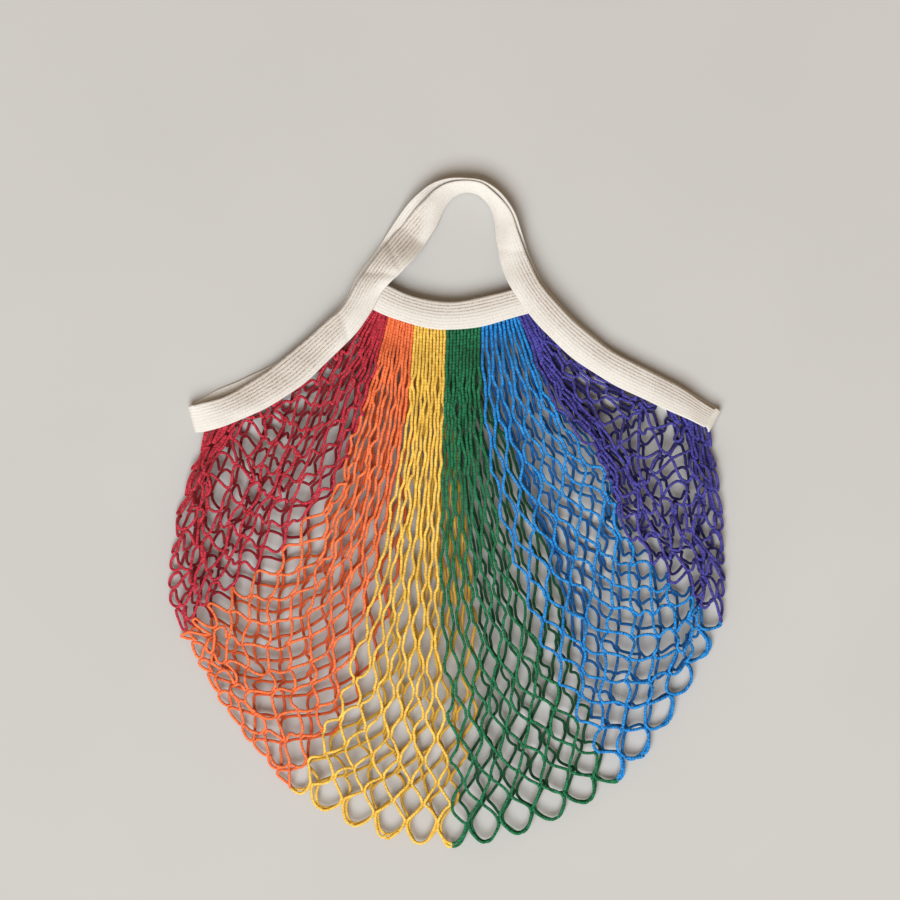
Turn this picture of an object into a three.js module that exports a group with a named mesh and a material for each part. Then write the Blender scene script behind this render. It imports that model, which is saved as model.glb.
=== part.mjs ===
// A net shopping bag lying flat: a rainbow cotton net folded at the bottom, its mouth edges gathered
// into two short tape bands, and one long tape loop that binds both side slits and makes both handles.
// Millimetres, +Z up, +Y towards the handles, front leaf of the net on top.
import * as THREE from 'three';

// Cotton tape, net cord and the clear space between pieces
const TAPE_WIDTH = 21;
const TAPE_THICK = 1.8;
const CORD = 2.2;
const PIECE_GAP = 0.3;
const STRIP_GAP = 0.65;
const LEAF_GAP = 1;
const SLACK = 0.35;

// The net's strips from left to right, and its diamonds at twice the pitch of the real net
const STRIPS = [
  { name: 'net_red', colour: 0xa3202c },
  { name: 'net_orange', colour: 0xe0602c },
  { name: 'net_yellow', colour: 0xe0ac3c },
  { name: 'net_green', colour: 0x12603a },
  { name: 'net_blue', colour: 0x1c6cb4 },
  { name: 'net_violet', colour: 0x3c3484 },
];
const COLUMNS_PER_STRIP = 2.5;
const ROWS_PER_LEAF = 11;
const KNOT_HALF_WIDTH = 2.2;
const KNOT_HALF_LENGTH = 3.4;
const KNOT_SHARE_OF_PITCH = 0.3;
const SMALLEST_GAP = 4;
const TAPE_COLOUR = 0xe8e0d0;

// Heights of the stack: back tape, back band, two leaves of net, front band, front tape
const LEAF_STEP = CORD + LEAF_GAP;
const LEAVES = LEAF_STEP + CORD;
const BACK_BAND_BOTTOM = TAPE_THICK + PIECE_GAP;
const NET_BOTTOM_AT_SIDE = TAPE_THICK + PIECE_GAP + SLACK;
const NET_BOTTOM_AT_MOUTH = BACK_BAND_BOTTOM + TAPE_THICK + PIECE_GAP + SLACK;
const FRONT_BAND_BOTTOM = NET_BOTTOM_AT_MOUTH + LEAVES + SLACK + PIECE_GAP;
const ON_NET = NET_BOTTOM_AT_SIDE + LEAVES + SLACK + PIECE_GAP;
const ON_BAND = FRONT_BAND_BOTTOM + TAPE_THICK + PIECE_GAP;

// Lines down the front leaf, [x, y] from the mouth to the fold: the edges between strips, the two
// slit edges, and the middle of the two outer strips. 'at' counts strips from the left slit.
const LINES = [
  { at: 0, mouth: [-53, 158], upper: [-85, 128], middle: [-116, 98], lower: [-149, 77], fold: [-179, 64] },
  { at: 0.5, mouth: [-49, 155], upper: [-79, 100], middle: [-112, 53], lower: [-154, 10], fold: [-206, -20] },
  { at: 1, mouth: [-43, 150], upper: [-67, 75], middle: [-97, 10], lower: [-136, -52], fold: [-196, -91] },
  { at: 2, mouth: [-25, 143], upper: [-34, 48], middle: [-53, -37], lower: [-77, -123], fold: [-117, -207] },
  { at: 3, mouth: [-1, 141], upper: [-4, 44], middle: [-8, -53], lower: [-4, -151], fold: [3, -250] },
  { at: 4, mouth: [25, 143], upper: [29, 49], middle: [49, -38], lower: [80, -122], fold: [127, -201] },
  { at: 5, mouth: [51, 149], upper: [80, 79], middle: [121, 21], lower: [144, -46], fold: [204, -83] },
  { at: 5.5, mouth: [55, 152], upper: [82, 101], middle: [121, 61], lower: [159, 17], fold: [206, -20] },
  { at: 6, mouth: [59, 155], upper: [86, 125], middle: [120, 101], lower: [157, 85], fold: [194, 67] },
];
const STATIONS = ['mouth', 'upper', 'middle', 'lower', 'fold'];

// How far the back leaf lies to the right of the front one half way down, and above it at the left slit
const BACK_LEAF_RIGHT = 20;
const BACK_LEAF_UP = 8;
const BACK_LEAF_LEFT_AT_SLIT = 3;

// Crumpled ridges of the front leaf in the two outer strips
const RIDGES = [
  { from: [-176, 40], to: [-190, -66], rise: 6, half: 9 },
  { from: [-140, 52], to: [-158, -44], rise: 5, half: 8 },
  { from: [184, 40], to: [191, -58], rise: 6, half: 9 },
  { from: [140, 62], to: [156, -20], rise: 5, half: 8 },
];

// Unevenness of the knots: how far they stray, and how fast that changes by column and by row
const STRAY = { size: 1.5, x: { column: 2.3, row: 1.7 }, y: { column: 3.1, row: -1.3 } };

// Share of the way down a leaf where the two leaves begin to close on the fold
const FOLD_START = 0.92;

// Middle line of the front tape from the left corner over the handle to the right corner: 'lift' is its
// height over the back tape, 'bank' tips its outer edge up, 'spread' is how far outside it the back tape
// lies, 'backBank' tips the back tape, and 'width' is the front tape's width as a share of the full one
const TAPE_STATIONS = [
  { x: -187, y: 69, lift: 7, bank: 8, spread: 0, backBank: 0, width: 1 },
  { x: -166, y: 75, lift: ON_NET, bank: 3, spread: 4, backBank: 0, width: 1 },
  { x: -141, y: 86, lift: ON_NET, bank: 0, spread: 8, backBank: 0, width: 1 },
  { x: -118, y: 101, lift: ON_NET, bank: -2, spread: 8, backBank: 0, width: 1.02 },
  { x: -99, y: 118, lift: 9.5, bank: -2, spread: 5, backBank: 0, width: 1.05 },
  { x: -84, y: 133, lift: 12, bank: 0, spread: 2.5, backBank: 0, width: 1.05 },
  { x: -74, y: 142.5, lift: ON_BAND, bank: 0, spread: 1.5, backBank: 0, width: 1 },
  { x: -65.5, y: 154.5, lift: ON_BAND, bank: 0, spread: 1.5, backBank: 0, width: 0.95 },
  { x: -57.5, y: 169, lift: ON_BAND, bank: 0, spread: 2, backBank: 0, width: 0.92 },
  { x: -45.5, y: 183.5, lift: 11, bank: -5, spread: 3, backBank: 3, width: 1.08 },
  { x: -34, y: 196.5, lift: 7, bank: -3, spread: 4.5, backBank: 8, width: 1.14 },
  { x: -22, y: 212, lift: 3, bank: 14, spread: 5.9, backBank: 16, width: 1.06 },
  { x: -12, y: 226, lift: 1, bank: 38, spread: 5.7, backBank: 38, width: 1 },
  { x: -5, y: 235.5, lift: 0.6, bank: 48, spread: 4.2, backBank: 48, width: 1 },
  { x: 3, y: 241.5, lift: 0.6, bank: 56, spread: 2.6, backBank: 56, width: 1 },
  { x: 13, y: 244, lift: 0.9, bank: 63, spread: 2.2, backBank: 63, width: 1 },
  { x: 23, y: 242.5, lift: 0.9, bank: 61, spread: 2.2, backBank: 61, width: 1 },
  { x: 30, y: 237, lift: 0.5, bank: 58, spread: 3, backBank: 58, width: 1 },
  { x: 36, y: 229.5, lift: 0.5, bank: 53, spread: 3, backBank: 53, width: 1 },
  { x: 41, y: 219, lift: 0.8, bank: 46, spread: 2.7, backBank: 46, width: 1 },
  { x: 44.5, y: 205, lift: 2.4, bank: 34, spread: 2.4, backBank: 34, width: 1 },
  { x: 49, y: 188, lift: 7, bank: 18, spread: 2.4, backBank: 14, width: 1 },
  { x: 56, y: 172, lift: ON_BAND, bank: 2, spread: 2.4, backBank: 2, width: 1 },
  { x: 66, y: 157, lift: ON_BAND, bank: 0, spread: 2.4, backBank: 0, width: 1 },
  { x: 81, y: 140, lift: ON_BAND, bank: 0, spread: 2, backBank: 0, width: 1.02 },
  { x: 101, y: 122, lift: 9.5, bank: 0, spread: 2, backBank: 0, width: 1.02 },
  { x: 125, y: 106, lift: ON_NET, bank: 0, spread: 1, backBank: 0, width: 1.02 },
  { x: 152, y: 92.5, lift: ON_NET, bank: -4, spread: 1, backBank: 0, width: 1 },
  { x: 175, y: 81.5, lift: ON_NET, bank: -14, spread: 0, backBank: 0, width: 0.9 },
  { x: 193, y: 72, lift: 7, bank: -18, spread: 0, backBank: 0, width: 0.78 },
];
const SECTIONS_PER_STATION = 2;
const TAPE_SECTIONS = SECTIONS_PER_STATION * (TAPE_STATIONS.length - 1);
const SECTIONS_PER_CORNER = 6;

// Middle line of the two mouth bands, sagging between the handle's feet
const BAND_LINE = [
  [-57, 163],
  [-38, 154],
  [-18, 148],
  [-1, 146],
  [18, 147.5],
  [39, 152.5],
  [60, 158.5],
];
const BAND_SECTIONS = 18;

// The net lies on the back tape and back band this near their middle lines, and on the floor this far off
const COVERED = 22;
const OFF_TAPE = 100;
const OFF_BAND = 150;
const NET_OFF_FLOOR = 0.1;

const UP = new THREE.Vector3(0, 0, 1);
const { clamp, degToRad, inverseLerp, smoothstep } = THREE.MathUtils;

const vector = (x, y, z = 0) => new THREE.Vector3(x, y, z);
const smoothCurve = (points) => new THREE.CatmullRomCurve3(points, false, 'catmullrom');

// A closed solid from corner points and polygons of corner numbers, each fanned into triangles.
function solidOf(corners, polygons) {
  const index = polygons.flatMap((polygon) =>
    polygon.slice(2).flatMap((corner, i) => [polygon[0], polygon[i + 1], corner]),
  );
  const geometry = new THREE.BufferGeometry().setFromPoints(corners);
  geometry.setIndex(index);
  geometry.computeVertexNormals();
  return geometry;
}

// A flat tape swept through sections, each with its centre, its across direction, its outer normal and
// its share of the full width.
function tapeOf(sections, isLoop) {
  const corners = sections.flatMap(({ centre, across, normal, width = 1 }) => {
    const side = across.clone().multiplyScalar((width * TAPE_WIDTH) / 2);
    const face = normal.clone().multiplyScalar(TAPE_THICK / 2);
    return [
      centre.clone().add(side).add(face),
      centre.clone().add(side).sub(face),
      centre.clone().sub(side).sub(face),
      centre.clone().sub(side).add(face),
    ];
  });
  const count = sections.length;
  const polygons = [];
  for (let i = 0; i < (isLoop ? count : count - 1); i += 1) {
    const here = 4 * i;
    const next = 4 * ((i + 1) % count);
    for (let c = 0; c < 4; c += 1) {
      const d = (c + 1) % 4;
      polygons.push([here + c, next + c, next + d, here + d]);
    }
  }
  if (!isLoop) {
    const last = 4 * (count - 1);
    polygons.push([0, 1, 2, 3], [last + 3, last + 2, last + 1, last]);
  }
  return solidOf(corners, polygons);
}

// The level direction to the left of a line's heading, which is the outer side of the handle.
const leftOf = (heading) => vector(-heading.y, heading.x).normalize();

// Mouth band: level tape along the band line.
const bandPlan = smoothCurve(BAND_LINE.map(([x, y]) => vector(x, y)));

function bandSections(bottom) {
  return Array.from({ length: BAND_SECTIONS + 1 }, (_, i) => ({
    centre: bandPlan.getPoint(i / BAND_SECTIONS).setZ(bottom + TAPE_THICK / 2),
    across: leftOf(bandPlan.getTangent(i / BAND_SECTIONS)),
    normal: UP.clone(),
  }));
}

// Handle tape: the front run, a rolled fold at the right corner, the back run and a fold at the left.
const tapePlan = new THREE.CatmullRomCurve3(TAPE_STATIONS.map(({ x, y }) => vector(x, y)));
const tapeSet = new THREE.CatmullRomCurve3(
  TAPE_STATIONS.map(({ lift, bank, spread }) => vector(lift, bank, spread)),
);
const tapeForm = new THREE.CatmullRomCurve3(
  TAPE_STATIONS.map(({ backBank, width }) => vector(backBank, width)),
);

function tapeSection(t, isFront) {
  const outward = leftOf(tapePlan.getTangent(t));
  const { x: lift, y: frontBank, z: spread } = tapeSet.getPoint(t);
  const { x: backBank, y: width } = tapeForm.getPoint(t);
  const bank = degToRad(isFront ? frontBank : Math.max(backBank, 0));
  const floorHeight = (TAPE_WIDTH / 2) * Math.abs(Math.sin(bank)) + (TAPE_THICK / 2) * Math.cos(bank);
  const centre = tapePlan.getPoint(t);
  if (!isFront) centre.addScaledVector(outward, Math.max(spread, 0));
  centre.z = floorHeight + (isFront ? lift : 0);
  const across = outward.clone().multiplyScalar(Math.cos(bank)).addScaledVector(UP, Math.sin(bank));
  const face = UP.clone().multiplyScalar(Math.cos(bank)).addScaledVector(outward, -Math.sin(bank));
  return { centre, across, normal: isFront ? face : face.negate(), width: isFront ? width : 1 };
}

// Half a turn between the front and the back run at one end of the tape.
function cornerSections(t, outwardSign) {
  const front = tapeSection(t, true);
  const back = tapeSection(t, false);
  const radius = (front.centre.z - back.centre.z) / 2;
  const middle = front.centre.clone().lerp(back.centre, 0.5);
  const heading = tapePlan.getTangent(t).multiplyScalar(outwardSign);
  return Array.from({ length: SECTIONS_PER_CORNER - 1 }, (_, i) => {
    const share = (i + 1) / SECTIONS_PER_CORNER;
    const [rise, onward] = [Math.cos(Math.PI * share), Math.sin(Math.PI * share)];
    const across = front.across.clone().lerp(back.across, share).normalize();
    const normal = UP.clone().multiplyScalar(rise).addScaledVector(heading, onward);
    normal.addScaledVector(across, -normal.dot(across)).normalize();
    const width = front.width + share * (back.width - front.width);
    return { centre: middle.clone().addScaledVector(normal, radius), across, normal, width };
  });
}

function handleTapeSections() {
  const run = (isFront) =>
    Array.from({ length: TAPE_SECTIONS + 1 }, (_, i) => tapeSection(i / TAPE_SECTIONS, isFront));
  return [
    ...run(true),
    ...cornerSections(1, 1),
    ...run(false).reverse(),
    ...cornerSections(0, -1).reverse(),
  ];
}

// Net: the place of any point of the front leaf, seen from above.
const leafLines = LINES.map((line) => smoothCurve(STATIONS.map((station) => vector(...line[station]))));

function leafPlan(strip, down) {
  const last = LINES.length - 1;
  const next = Math.max(LINES.findIndex(({ at }) => at >= strip), 1);
  const share = inverseLerp(LINES[next - 1].at, LINES[next].at, strip);
  const across = smoothCurve(leafLines.map((line) => line.getPoint(down)));
  return across.getPoint((next - 1 + share) / last);
}

// Rise of the front leaf where it is crumpled: rounded ridges along short lines.
function ridgeRise(point) {
  return RIDGES.reduce((rise, ridge) => {
    const line = new THREE.Line3(vector(...ridge.from), vector(...ridge.to));
    const nearest = line.closestPointToPoint(vector(point.x, point.y), true, vector(0, 0));
    const away = Math.hypot(point.x - nearest.x, point.y - nearest.y) / ridge.half;
    return Math.max(rise, ridge.rise * Math.exp(-away * away));
  }, 0);
}

// Height of what lies under the net, which climbs over the back tape at the slits and over the back
// band at the mouth.
const underNet = [
  { points: tapePlan.getPoints(TAPE_SECTIONS), height: NET_BOTTOM_AT_SIDE, off: OFF_TAPE },
  { points: bandPlan.getPoints(BAND_SECTIONS), height: NET_BOTTOM_AT_MOUTH, off: OFF_BAND },
];

function netBottom(point) {
  const heights = underNet.map(({ points, height, off }) => {
    const away = Math.min(...points.map((other) => Math.hypot(point.x - other.x, point.y - other.y)));
    return height * (1 - smoothstep(away, COVERED, off));
  });
  return Math.max(...heights, NET_OFF_FLOOR);
}

// A point of the net's middle surface: 'strip' across, 'turn' 0 at the front mouth, 1 at the fold, 2 at
// the back mouth.
function netPoint(strip, turn) {
  const isBack = turn > 1;
  const down = isBack ? 2 - turn : turn;
  const point = leafPlan(strip, down);
  if (isBack) {
    const middle = Math.sin(Math.PI * down);
    const atLeft = (1 - strip / STRIPS.length) ** 2;
    point.x += middle * BACK_LEAF_RIGHT * Math.sin((Math.PI * strip) / STRIPS.length);
    point.x -= middle * BACK_LEAF_LEFT_AT_SLIT * atLeft;
    point.y += middle * BACK_LEAF_UP * atLeft;
  }
  const closing = smoothstep(down, FOLD_START, 1);
  const frontRise = isBack ? 0 : (LEAF_STEP + ridgeRise(point)) * (1 - closing);
  point.z = netBottom(point) + CORD / 2 + (closing * LEAF_STEP) / 2 + frontRise;
  return point;
}

// One knot: a diamond of four corners on the net's surface. Knots on the edge of a strip are halved,
// with half the strip gap left to the next strip. Column and row count half diamonds.
const NUDGE = 0.02;

function knotAt(column, row, leftEdge, rightEdge) {
  const strip = column / COLUMNS_PER_STRIP;
  const turn = row / ROWS_PER_LEAF;
  const point = netPoint(strip, turn);
  point.x += STRAY.size * Math.sin(STRAY.x.column * column + STRAY.x.row * row);
  point.y += STRAY.size * Math.sin(STRAY.y.column * column + STRAY.y.row * row);
  const [left, right] = [Math.max(strip - NUDGE, 0), Math.min(strip + NUDGE, STRIPS.length)];
  const [before, after] = [Math.max(turn - NUDGE, 0), Math.min(turn + NUDGE, 2)];
  const across = netPoint(right, turn).sub(netPoint(left, turn)).divideScalar(right - left);
  const along = netPoint(strip, after).sub(netPoint(strip, before)).divideScalar(after - before);
  const columnPitch = across.length() / COLUMNS_PER_STRIP;
  const rowPitch = along.length() / ROWS_PER_LEAF;
  const halfWidth = Math.min(KNOT_HALF_WIDTH, KNOT_SHARE_OF_PITCH * columnPitch);
  const halfLength = clamp(KNOT_SHARE_OF_PITCH * rowPitch, CORD / 2, KNOT_HALF_LENGTH);
  across.normalize();
  along.normalize();
  const normal = along.clone().cross(across).normalize();
  const setBack = (leftEdge ? STRIP_GAP / 2 : 0) - (rightEdge ? STRIP_GAP / 2 : 0);
  const corner = (sideways, onward) => {
    const middle = point.clone().addScaledVector(across, sideways).addScaledVector(along, onward);
    return {
      outer: middle.clone().addScaledVector(normal, CORD / 2),
      inner: middle.clone().addScaledVector(normal, -CORD / 2),
    };
  };
  const knot = { point, up: corner(setBack, -halfLength), down: corner(setBack, halfLength) };
  if (!leftEdge) knot.left = corner(-halfWidth, 0);
  if (!rightEdge) knot.right = corner(halfWidth, 0);
  return knot;
}

// Thickness: outer polygons, the same ones turned over on the inner side, and walls on every open edge.
function thicken(polygons) {
  const corners = [];
  const numbers = new Map();
  const numberOf = (corner) => {
    if (!numbers.has(corner)) {
      numbers.set(corner, corners.length);
      corners.push(corner.outer, corner.inner);
    }
    return numbers.get(corner);
  };
  const outer = polygons.map((polygon) => polygon.map(numberOf));
  const inner = outer.map((polygon) => polygon.map((n) => n + 1).reverse());
  const edges = outer.flatMap((polygon) => polygon.map((n, i) => [n, polygon[(i + 1) % polygon.length]]));
  const used = new Set(edges.map(([a, b]) => `${a} ${b}`));
  const open = edges.filter(([a, b]) => !used.has(`${b} ${a}`));
  const walls = open.map(([a, b]) => [b, a, a + 1, b + 1]);
  return solidOf(corners, [...outer, ...inner, ...walls]);
}

// One strip of net. A diamond is left filled where the net is gathered so tight that a real one, at
// half this pitch, would be no wider than the smallest gap.
function netStrip(number) {
  const first = number * COLUMNS_PER_STRIP;
  const last = first + COLUMNS_PER_STRIP;
  const rows = 2 * ROWS_PER_LEAF;
  const knots = new Map();
  for (let row = 0; row <= rows; row += 1) {
    for (let column = first; column <= last; column += 0.5) {
      const isKnot = Number.isInteger(column + row / 2);
      if (isKnot) knots.set(`${column} ${row}`, knotAt(column, row, column === first, column === last));
    }
  }
  const polygons = [];
  for (let row = 0; row <= rows; row += 1) {
    for (let column = first; column <= last; column += 0.5) {
      const at = (sideways, onward) => knots.get(`${column + sideways} ${row + onward}`);
      const here = at(0, 0);
      if (here) {
        const [rightBelow, leftBelow] = [at(0.5, 1), at(-0.5, 1)];
        polygons.push([here.up, here.left, here.down, here.right].filter(Boolean));
        if (rightBelow) polygons.push([here.down, rightBelow.left, rightBelow.up, here.right]);
        if (leftBelow) polygons.push([here.down, here.left, leftBelow.up, leftBelow.right]);
        continue;
      }
      const [above, left, below, right] = [at(0, -1), at(-0.5, 0), at(0, 1), at(0.5, 0)];
      const isWhole = left && right;
      const width = isWhole ? left.point.distanceTo(right.point) : edgeWidth(above, below, left ?? right);
      const isFilled = width / 2 - CORD < SMALLEST_GAP;
      const filling = [above?.down, left?.right, below?.up, right?.left].filter(Boolean);
      if (isFilled && filling.length > 2) polygons.push(filling);
    }
  }
  return thicken(polygons);
}

// Width of the diamond that a strip shares with its neighbour, from the half that this strip has.
function edgeWidth(above, below, inside) {
  const ends = [above, below].filter(Boolean).map((knot) => knot.point);
  const middle = ends.reduce((sum, point) => sum.add(point), vector(0, 0)).divideScalar(ends.length);
  return 2 * middle.distanceTo(inside.point);
}

const bag = new THREE.Group();

function addPiece(name, geometry, colour) {
  const material = new THREE.MeshStandardMaterial({ color: colour, roughness: 0.9, metalness: 0 });
  const piece = new THREE.Mesh(geometry, material);
  piece.name = name;
  bag.add(piece);
}

STRIPS.forEach(({ name, colour }, number) => addPiece(name, netStrip(number), colour));
addPiece('front_band', tapeOf(bandSections(FRONT_BAND_BOTTOM), false), TAPE_COLOUR);
addPiece('back_band', tapeOf(bandSections(BACK_BAND_BOTTOM), false), TAPE_COLOUR);
addPiece('handle_tape', tapeOf(handleTapeSections(), true), TAPE_COLOUR);

// The origin is under the middle of the bag, on the surface it lies on.
const extent = new THREE.Box3().setFromObject(bag);
const middle = extent.getCenter(vector(0, 0));
bag.position.set(-middle.x, -middle.y, -extent.min.z);

export default bag;
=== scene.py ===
import bpy
import numpy as np
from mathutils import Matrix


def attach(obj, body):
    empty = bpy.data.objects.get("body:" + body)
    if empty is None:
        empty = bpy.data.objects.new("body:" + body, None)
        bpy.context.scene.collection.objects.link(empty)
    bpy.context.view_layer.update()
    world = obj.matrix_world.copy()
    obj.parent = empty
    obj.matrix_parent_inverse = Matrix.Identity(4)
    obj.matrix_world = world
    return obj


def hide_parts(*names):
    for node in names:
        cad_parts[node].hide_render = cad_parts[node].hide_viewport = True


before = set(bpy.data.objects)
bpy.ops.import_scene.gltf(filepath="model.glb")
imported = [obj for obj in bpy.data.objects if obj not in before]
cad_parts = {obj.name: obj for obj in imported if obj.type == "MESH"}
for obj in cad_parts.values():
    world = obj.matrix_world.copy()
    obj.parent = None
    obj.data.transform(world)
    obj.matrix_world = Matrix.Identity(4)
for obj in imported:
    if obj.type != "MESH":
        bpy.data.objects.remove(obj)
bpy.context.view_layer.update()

# Lie of the net: one panel of diamond mesh, knitted from cotton cord and folded at the bottom, so that
# it lies in two leaves. It is gathered at the mouth, opens out towards the fold, and is crumpled beside
# the two slits, where the slack of its meshes has nowhere to go.
MM = 0.001
STRIP_COUNT = 6
COLUMNS_PER_STRIP = 5
CORDS_PER_STRIP = 2 * COLUMNS_PER_STRIP
ROWS_PER_LEAF = 22
BAR = 18.8 * MM
# From the zero point of the tables of millimetres to the frame's origin
FROM_TABLES = np.array([0.3129, -0.6264]) * MM

# Lines down the front leaf, in millimetres: how many strips from the left slit, then the points at the
# mouth, a quarter, half and three quarters of the way down, and at the fold
LINES = (
    (0.0, (-53, 158), (-85, 128), (-116, 98), (-149, 77), (-179, 64)),
    (0.5, (-49, 155), (-79, 100), (-112, 53), (-154, 10), (-206, -20)),
    (1.0, (-43, 150), (-64, 72), (-86, 16), (-137, -52), (-201, -93)),
    (2.0, (-25, 143), (-34, 48), (-53, -37), (-77, -123), (-117, -207)),
    (3.0, (-1, 141), (-4, 44), (-8, -53), (-4, -151), (3, -250)),
    (4.0, (25, 143), (25.5, 52), (49, -38), (80, -122), (127, -201)),
    (5.0, (51, 149), (80, 79), (121, 21), (144, -46), (204, -83)),
    (5.5, (55, 152), (82, 101), (121, 61), (159, 17), (206, -20)),
    (6.0, (59, 155), (86, 125), (120, 101), (157, 85), (194, 67)),
)
LINE_AT = [line[0] for line in LINES]
LINE_POINTS = np.array([line[1:] for line in LINES]) * MM + FROM_TABLES

# Crumpled ridges of the front leaf, in millimetres: ends, rise, half width, and the reach and the share
# by which the meshes beside the ridge are drawn towards it
RIDGES = (
    ((-178, 48), (-190, -74), 5, 9, 14, 0.45),
    ((-146, 58), (-158, -36), 4, 7, 9, 0.4),
    ((184, 52), (192, -66), 5, 9, 14, 0.5),
    ((138, 60), (146, -44), 3, 6, 8, 0.55),
    ((116, 60), (131, -64), 3, 6, 10, 0.6),
    ((-78, 36), (-93, -58), 2.5, 6, 10, 0.5),
    ((-61, 96), (-78, 24), 2.5, 6, 11, 0.5),
)
# Shares of a ridge's length over which it fades in and out
RIDGE_FADES_IN = (-0.15, 0.3)
RIDGE_FADES_OUT = (0.7, 1.15)

# Rows: the tightest pitch as a share of the bar, then where on the way down crowding starts and ends, how
# steeply it grows and the most there may be. Beside a slit: how open rows are at first, how bunched after
# that, and from how many strips away
TIGHTEST_PITCH = 0.35
CROWDED_FROM = 0.3
CROWDED_TO = 0.95
CROWDING = 4
MOST_CROWDED = 0.93
SLIT_OPEN = 0.62
SLIT_BUNCHED = 0.25
BESIDE_SLIT = (0.3, 1.0)
PLACES_DOWN = 241
# What keeps a place within the last mesh of the grid
JUST_INSIDE = 0.001

# Evening out of the bars: passes before and after the crumpling, the share of a move made in one pass, and
# how much the knots of a short bar push apart
FIRST_PASSES = 80
LAST_PASSES = 60
SHARE_A_PASS = 0.7
PUSH = 0.02
MOST_PUSHED = 0.6
SHORTEST_SPAN = 0.1 * BAR

# Back leaf: how closely it clings to the front one, and its further shift in the middle, in half columns.
# Where shifts start and end is given in strips from the left slit, then as shares of the way down
CLING = 0.85
MIDDLE_SHIFT = 4.0
LEFT_SLIT_ENDS = (0.7, 1.1)
RIGHT_SLIT_STARTS = (5.0, 5.3)
MIDDLE_STARTS = (1.6, 2.2)
MIDDLE_ENDS = (3.6, 4.5)
CLINGS_FROM = (0.0, 0.06)
MIDDLE_SHIFTS_FROM = (0.08, 0.3)
MIDDLE_SHIFTS_TO = (0.6, 1.0)
EVEN_WITH_FRONT = (0.85, 1.05)
BACK_LEAF_ASIDE = 3.0 * MM
ASIDE_FROM = (0.35, 0.7)
BACK_LEAF_SWAY = 6 * MM
SWAY_FADES = (0.5, 0.98)
SWAY_LOST = 0.7

# Crumple: how far knots go astray in the middle and beside the slits, from where on the way down, its waves
# and their lengths over two pi, how unevenly ridges pull, and the shares of pull and waves that the back
# leaf has
STRAY = 0.9 * MM
CRUMPLE = 2.2 * MM
LOOSE_FROM = (0.15, 0.65)
CRUMPLE_WAVE = 4.0 * MM
WAVE_ACROSS = 6.7 * MM
WAVE_ALONG = 8.3 * MM
UNEVEN_PULL = (0.3, 1.3)
BACK_LEAF_PULL = 0.4
BACK_LEAF_WAVE = 0.6
# Strips from the middle of the bag at which the crumple starts, and over which it grows to its full size
CRUMPLED_FROM = 1.5
CRUMPLED_OVER = 1.2
# Strips between which the fold runs along a row of knots. Elsewhere it runs half a row further on
FOLD_ON_KNOTS = (2, 5)

HALF_COLUMNS = CORDS_PER_STRIP * STRIP_COUNT
ROWS = 2 * ROWS_PER_LEAF
half_column, row = np.meshgrid(np.arange(HALF_COLUMNS + 1), np.arange(ROWS + 1), indexing="ij")
is_knot = (half_column + row) % 2 == 0
strip = half_column / CORDS_PER_STRIP
folds_on_knots = (strip >= FOLD_ON_KNOTS[0]) & (strip <= FOLD_ON_KNOTS[1])
fold_row = ROWS_PER_LEAF + np.where(folds_on_knots, 0.0, 0.5)
is_back = row > fold_row
outer = np.clip((np.abs(strip - STRIP_COUNT / 2) - CRUMPLED_FROM) / CRUMPLED_OVER, 0, 1)
chance = np.random.default_rng(41)


def length_of(vectors):
    """Length of each vector, kept as a last axis of one."""
    return np.linalg.norm(vectors, axis=-1, keepdims=True)


def unit(vectors):
    """Each vector divided by its own length."""
    return vectors / np.maximum(length_of(vectors), 1e-12)


def ease(value, low, high):
    """Smooth step: 0 below low, 1 above high, and 3s^2 - 2s^3 of the share s between them."""
    share = np.clip((value - low) / (high - low), 0, 1)
    return share * share * (3 - 2 * share)


def between(value, start, end):
    """Smooth step up over the start's two values, times one down again over the end's two."""
    return ease(value, *start) * (1 - ease(value, *end))


def bell(distance, half_width):
    """Bell curve of a distance: 1 at none, and 1/e at the half width, which is in millimetres."""
    return np.exp(-((distance / (half_width * MM)) ** 2))


def square_to(vectors, way):
    """Each vector less its part along a way of length one."""
    return vectors - (vectors * way).sum(axis=-1, keepdims=True) * way


def run_along(line):
    """Length along a line of points, from its start to each of them."""
    return np.concatenate([[0.0], np.cumsum(length_of(np.diff(line, axis=0)))])


def smooth_line(stations, place):
    """Uniform Catmull-Rom line: each stretch is a cubic through its two stations, with its slopes taken
    from their neighbours. place counts stations, and a second axis of stations holds one line a place."""
    first = np.clip(np.floor(place).astype(int), 0, len(stations) - 2)
    share = (place - first)[..., None]
    before = 2 * stations[:1] - stations[1:2]
    after = 2 * stations[-1:] - stations[-2:-1]
    padded = np.concatenate([before, stations, after])
    each = () if stations.ndim == 2 else (np.arange(stations.shape[1]),)
    a, b, c, d = (padded[(first + k, *each)] for k in range(4))
    bend = a - 2.5 * b + 2 * c - d / 2
    twist = 1.5 * (b - c) + (d - a) / 2
    return b + share * (c - a) / 2 + share**2 * bend + share**3 * twist


def leaf_plan(strip, down):
    """Place of the front leaf's points from above: along every line by the share of the way down, then
    across the lines by the strip."""
    along = down.ravel() * (LINE_POINTS.shape[1] - 1)
    lines = np.stack([smooth_line(points, along) for points in LINE_POINTS])
    across = np.interp(strip.ravel(), LINE_AT, np.arange(len(LINES)))
    return smooth_line(lines, across).reshape(*strip.shape, 2)


def from_ridge(plan, start, end):
    """Vector to each point from a ridge's line, square to the line, and how much of the ridge there is
    beside the point: all of it along the middle, fading to nothing at both ends."""
    start = np.array(start) * MM + FROM_TABLES
    way = np.array(end) * MM + FROM_TABLES - start
    share = ((plan - start) @ way) / (way @ way)
    present = between(share, RIDGE_FADES_IN, RIDGE_FADES_OUT)
    return plan - start - share[..., None] * way, present[..., None]


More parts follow.
